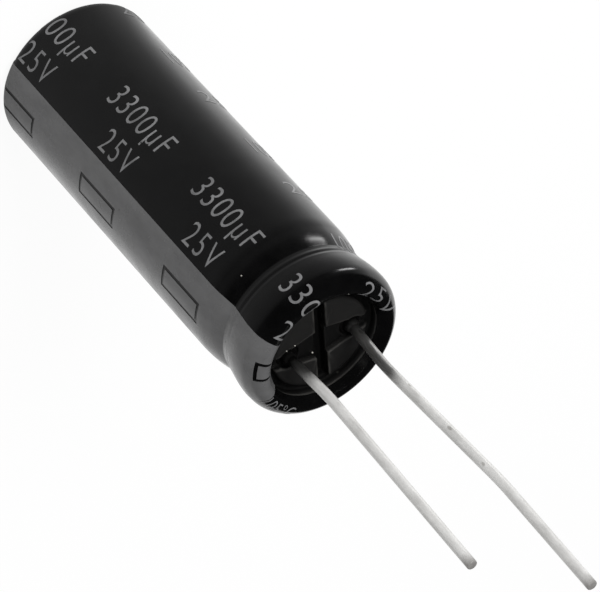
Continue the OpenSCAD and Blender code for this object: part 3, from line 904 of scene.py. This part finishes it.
def make_can_metal():
    """Drawn aluminium: satin, with fine rings on the closed end and lines round the wall."""
    material, tree, shader, place = finish("drawn_aluminium")
    x, y, z = parts_of(tree, place)
    radius = sums(tree, "SQRT", sums(tree, "ADD", times(tree, x, x), times(tree, y, y)))
    ringed = tree.nodes.new("ShaderNodeCombineXYZ")
    tree.links.new(radius, ringed.inputs[0])
    tree.links.new(z, ringed.inputs[2])
    rings = place_group(tree, STREAKS, Vector=ringed.outputs[0], Scale=4200.0)
    handled = place_group(tree, STREAKS, Vector=place, Scale=1100.0)
    metal = tint(tree, rings["Lines"], (0.68, 0.69, 0.71), (0.8, 0.81, 0.83))
    metal = tint(tree, handled["Blotches"], metal, (0.6, 0.6, 0.6), 0.35)
    feed(tree, shader["Base Color"], metal)
    shader["Metallic"].default_value = 1.0
    feed(tree, shader["Roughness"], between(tree, handled["Blotches"], 0.28, 0.42))
    raise_by(tree, shader, rings["Lines"], 0.004)
    return material


def make_dull_metal(name, low, high, rough, scale, foot_shaded=False):
    """Etched or dulled aluminium, matt and finely mottled; where asked, with painted shade near the seal's
    face.
    """
    material, tree, shader, place = finish(name)
    mottle = place_group(tree, STREAKS, Vector=place, Scale=scale)
    metal = tint(tree, mottle["Blotches"], low, high)
    if foot_shaded:
        start, full = FOOT_SHADE_FROM
        # Painted shade on the metal near the seal's face
        above = span(tree, parts_of(tree, place)[2], (FACE_Z + start) * MM, (FACE_Z + full) * MM, 0.0, 0.97)
        metal = tint(tree, above, metal, FOOT_SHADE)
    feed(tree, shader["Base Color"], metal)
    shader["Metallic"].default_value = 0.9
    feed(tree, shader["Roughness"], between(tree, mottle["Lines"], rough - 0.07, rough + 0.07))
    raise_by(tree, shader, mottle["Lines"], 0.006)
    return material


def make_paper():
    """Separator paper, soaked, with fibres that run round the winding."""
    material, tree, shader, place = finish("soaked_paper")
    fibres = place_group(tree, STREAKS, Vector=scaled(tree, place, (0.4, 0.4, 1)), Scale=5200.0)
    feed(tree, shader["Base Color"], tint(tree, fibres["Lines"], (0.6, 0.52, 0.34), (0.72, 0.65, 0.46)))
    feed(tree, shader["Roughness"], between(tree, fibres["Blotches"], 0.6, 0.85))
    raise_by(tree, shader, fibres["Lines"], 0.01)
    return material


def make_tape():
    """Amber closing tape, smooth, with a few soft patches."""
    material, tree, shader, place = finish("closing_tape")
    uneven = place_group(tree, UNEVENNESS, Vector=place, Scale=300.0, Ripple=0.3)
    feed(tree, shader["Base Color"], tint(tree, uneven["Patches"], (0.52, 0.4, 0.16), (0.62, 0.49, 0.22)))
    feed(tree, shader["Roughness"], between(tree, uneven["Patches"], 0.28, 0.42))
    raise_by(tree, shader, uneven["Height"], 0.01)
    return material


def make_dust_and_glint():
    """Pale dust, dull and uneven; its pale colour also paints small glints."""
    material, tree, shader, place = finish("pale_dust_and_glint")
    mottle = place_group(tree, STREAKS, Vector=place, Scale=9000.0)
    # Pale colour: dust, and a painted glint where the grains sit
    feed(tree, shader["Base Color"], tint(tree, mottle["Blotches"], (0.25, 0.24, 0.22), (0.5, 0.48, 0.44)))
    feed(tree, shader["Roughness"], between(tree, mottle["Lines"], 0.7, 0.95))
    return material


def wear(piece, material):
    """Gives a piece or a CAD node its material."""
    piece.data.materials.clear()
    piece.data.materials.append(material)


# Pieces of the scene
anode_tin = make_tinned("tinned_wire_long", 27.9, 34.6, 41)
cathode_tin = make_tinned("tinned_wire_short", 21.8, 35.3, 37.6)
print_ink = make_ink("print_ink", (0.09, 0.09, 0.092), (0.17, 0.17, 0.173), 0.12)
wear(build_sleeve(), make_film())
wear(build_stripe(), make_ink("stripe_ink", (0.082, 0.082, 0.083), (0.105, 0.105, 0.106), 0.02))
wear(build_seal(), make_rubber())
wear(build_lead("anode_wire", LEAD_X, ANODE_LEGS, "anode_lead"), anode_tin)
wear(build_lead("cathode_wire", -LEAD_X, CATHODE_LEGS, "cathode_lead"), cathode_tin)
wear(build_dust_and_glint_grains(), make_dust_and_glint())
for rating in PRINTS:
    wear(build_print(*rating), print_ink)

# Solids that keep their own form
tab_metal = make_dull_metal("dulled_aluminium", (0.3, 0.3, 0.3), (0.5, 0.5, 0.5), 0.5, 2600.0, foot_shaded=True)
etched_foil = make_dull_metal("etched_foil", (0.24, 0.25, 0.26), (0.34, 0.35, 0.36), 0.62, 5200.0)
plain_foil = make_dull_metal("plain_foil", (0.46, 0.47, 0.49), (0.56, 0.57, 0.59), 0.5, 5200.0)
paper = make_paper()
wear(nodes["can"], make_can_metal())
wear(nodes["anode_tab"], tab_metal)
wear(nodes["cathode_tab"], tab_metal)
wear(nodes["anode_foil"], etched_foil)
wear(nodes["cathode_foil"], plain_foil)
wear(nodes["inner_paper"], paper)
wear(nodes["outer_paper"], paper)
wear(nodes["winding_tape"], make_tape())


def set_camera():
    """The camera at the photograph's angle."""
    lens = bpy.data.cameras.new("camera")
    camera = bpy.data.objects.new("camera", lens)
    scene.collection.objects.link(camera)
    scene.camera = camera
    lens.lens = LENS
    lens.sensor_width = 36
    lens.clip_start = 0.01
    lens.clip_end = 10
    turn, lift, roll = radians(CAMERA_TURN), radians(CAMERA_LIFT), radians(CAMERA_ROLL)
    ahead = -Vector((cos(lift) * cos(turn), cos(lift) * sin(turn), sin(lift)))
    level = ahead.cross(Vector((0, 0, 1))).normalized()
    up = level.cross(ahead) * cos(roll) + level * sin(roll)
    right = ahead.cross(up)
    x, y, z = Vector(CAMERA_AT) * MM
    camera.matrix_world = Matrix((
        (right.x, up.x, -ahead.x, x),
        (right.y, up.y, -ahead.y, y),
        (right.z, up.z, -ahead.z, z),
        (0, 0, 0, 1),
    ))


def surround(tree, vector):
    """How bright the surroundings look in a reflection, by their direction round the part."""
    x, y, _ = parts_of(tree, vector)
    turn = sums(tree, "ARCTAN2", y, x)
    share = sums(tree, "FRACT", sums(tree, "ADD", sums(tree, "DIVIDE", turn, 2 * pi), 1.0))
    ramp = tree.nodes.new("ShaderNodeValToRGB")
    points = ramp.color_ramp.elements
    points[-1].position = SURROUND[-1][0] / 360
    points[0].color = (SURROUND[0][1],) * 3 + (1,)
    points[-1].color = (SURROUND[-1][1],) * 3 + (1,)
    for degree, value in SURROUND[1:-1]:
        points.new(degree / 360).color = (value, value, value, 1)
    tree.links.new(share, ramp.inputs[0])
    return ramp.outputs[0]


def make_floor_white():
    """Plain white to the camera but for the shadow, and dim in reflections on the camera's side."""
    material = bpy.data.materials.new("white_floor")
    material.use_nodes = True
    tree = material.node_tree
    tree.nodes.clear()
    out = tree.nodes.new("ShaderNodeOutputMaterial")
    mix = tree.nodes.new("ShaderNodeMixShader")
    path = tree.nodes.new("ShaderNodeLightPath").outputs
    glow = tree.nodes.new("ShaderNodeEmission")
    matt = tree.nodes.new("ShaderNodeBsdfDiffuse")
    matt.inputs["Color"].default_value = (FLOOR_GREY, FLOOR_GREY, FLOOR_GREY, 1)
    place = tree.nodes.new("ShaderNodeTexCoord").outputs["Object"]
    far = tree.nodes.new("ShaderNodeVectorMath")
    far.operation = "LENGTH"
    tree.links.new(place, far.inputs[0])
    round_about = surround(tree, place)
    nearby = span(tree, far.outputs["Value"], *FLOOR_NEAR)
    faded = span(tree, far.outputs["Value"], *FLOOR_FADE)
    kept = sums(tree, "MAXIMUM", faded, round_about)
    seen = sums(tree, "MINIMUM", times(tree, times(tree, round_about, nearby), kept), 1.0)
    dimming = times(tree, sums(tree, "SUBTRACT", 1.0, seen), path["Is Glossy Ray"])
    feed(tree, glow.inputs["Strength"], sums(tree, "SUBTRACT", 1.0, dimming))
    mirrored = sums(tree, "MAXIMUM", path["Is Glossy Ray"], path["Is Transmission Ray"])
    white = sums(tree, "MAXIMUM", mirrored, times(tree, path["Is Camera Ray"], FLOOR_WHITE))
    tree.links.new(white, mix.inputs[0])
    tree.links.new(matt.outputs[0], mix.inputs[1])
    tree.links.new(glow.outputs[0], mix.inputs[2])
    tree.links.new(mix.outputs[0], out.inputs[0])
    return material


def build_floor():
    """A plain floor under the standing part."""
    bm = bmesh.new()
    bmesh.ops.create_grid(bm, x_segments=1, y_segments=1, size=FLOOR_REACH)
    mesh = bpy.data.meshes.new("floor")
    bm.to_mesh(mesh)
    bm.free()
    floor = bpy.data.objects.new("floor", mesh)
    scene.collection.objects.link(floor)
    floor.data.materials.append(make_floor_white())


def light_room():
    """A white room to the camera, at the room's own level on matt surfaces and nearly dark in reflections."""
    world = bpy.data.worlds.new("studio")
    scene.world = world
    world.use_nodes = True
    tree = world.node_tree
    path = tree.nodes.new("ShaderNodeLightPath").outputs
    shown = sums(tree, "MAXIMUM", path["Is Camera Ray"], path["Is Transmission Ray"])
    soft = sums(tree, "ADD", ROOM_LIGHT, times(tree, shown, 1 - ROOM_LIGHT))
    level = sums(tree, "SUBTRACT", soft, times(tree, path["Is Glossy Ray"], ROOM_LIGHT - ROOM_SEEN))
    backdrop = tree.nodes["Background"]
    backdrop.inputs["Color"].default_value = (1, 1, 1, 1)
    tree.links.new(level, backdrop.inputs["Strength"])


def softbox(name, at, aim, size, power, mirrored):
    """A rectangular lamp, out of the camera's sight; only some of them are seen in reflections."""
    light = bpy.data.lights.new(name, "AREA")
    light.shape = "RECTANGLE"
    light.size, light.size_y = (s * MM for s in size)
    light.energy = power
    lamp = bpy.data.objects.new(name, light)
    scene.collection.objects.link(lamp)
    at, aim = Vector(at) * MM, Vector(aim) * MM
    lamp.location = at
    lamp.rotation_euler = (aim - at).to_track_quat("-Z", "Y").to_euler()
    lamp.visible_camera = False
    lamp.visible_glossy = mirrored


set_camera()
build_floor()
light_room()
# The big lamp lights the part from above, and the small one gives the two highlights by the bead
softbox("key", (40, 200, 240), (0, 0, 25), (140, 140), 0.7, False)
softbox("window", (54.3, 29.5, 12.5), (2.4, 5.6, 31), (22, 5), 0.0034, True)

scene.view_settings.view_transform = "Standard"
